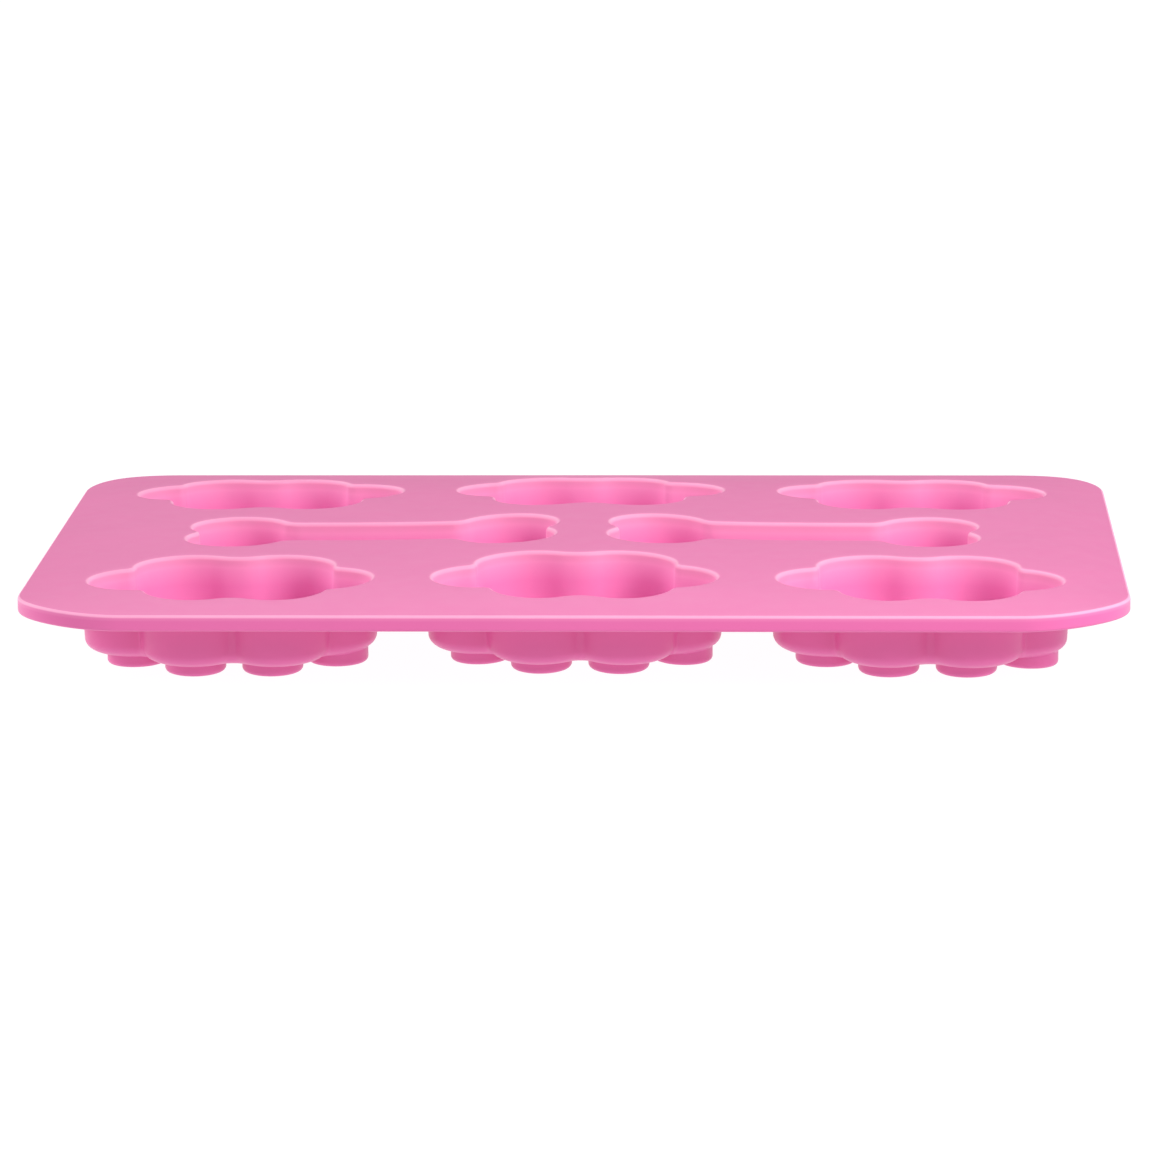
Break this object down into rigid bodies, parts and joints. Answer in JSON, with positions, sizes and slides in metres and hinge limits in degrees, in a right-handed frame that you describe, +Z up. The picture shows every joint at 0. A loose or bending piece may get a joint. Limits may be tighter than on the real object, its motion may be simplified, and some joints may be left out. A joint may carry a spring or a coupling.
{
  "type": "silicone soap mould tray",
  "caption": "Flexible tray mould with paw-shaped and bone-shaped cavities hanging from a flat deck with a thickened rim, for casting small soap or resin bars.",
  "frame": {"origin": "centre of the tray's footprint on the surface that its wells and bone cups stand on", "axes": "+X along the long side, +Z up out of the cavities, -Y towards the front row of paws, whose toes point to -Y"},
  "size_m": [0.29, 0.21, 0.0222],
  "materials": {
    "silicone": "satin, slightly translucent pink silicone"
  },
  "bodies": {
    "root": {"deck": "silicone", "rim_bead": "silicone", "front_left_paw_cup": "silicone", "front_left_paw_toe_well_1": "silicone", "front_left_paw_toe_well_2": "silicone", "front_left_paw_toe_well_3": "silicone", "front_left_paw_toe_well_4": "silicone", "front_left_paw_pad_well": "silicone", "front_centre_paw_cup": "silicone", "front_centre_paw_toe_well_1": "silicone", "front_centre_paw_toe_well_2": "silicone", "front_centre_paw_toe_well_3": "silicone", "front_centre_paw_toe_well_4": "silicone", "front_centre_paw_pad_well": "silicone", "front_right_paw_cup": "silicone", "front_right_paw_toe_well_1": "silicone", "front_right_paw_toe_well_2": "silicone", "front_right_paw_toe_well_3": "silicone", "front_right_paw_toe_well_4": "silicone", "front_right_paw_pad_well": "silicone", "back_left_paw_cup": "silicone", "back_left_paw_toe_well_1": "silicone", "back_left_paw_toe_well_2": "silicone", "back_left_paw_toe_well_3": "silicone", "back_left_paw_toe_well_4": "silicone", "back_left_paw_pad_well": "silicone", "back_centre_paw_cup": "silicone", "back_centre_paw_toe_well_1": "silicone", "back_centre_paw_toe_well_2": "silicone", "back_centre_paw_toe_well_3": "silicone", "back_centre_paw_toe_well_4": "silicone", "back_centre_paw_pad_well": "silicone", "back_right_paw_cup": "silicone", "back_right_paw_toe_well_1": "silicone", "back_right_paw_toe_well_2": "silicone", "back_right_paw_toe_well_3": "silicone", "back_right_paw_toe_well_4": "silicone", "back_right_paw_pad_well": "silicone", "left_bone_cup": "silicone", "right_bone_cup": "silicone"}
  },
  "joints": []
}
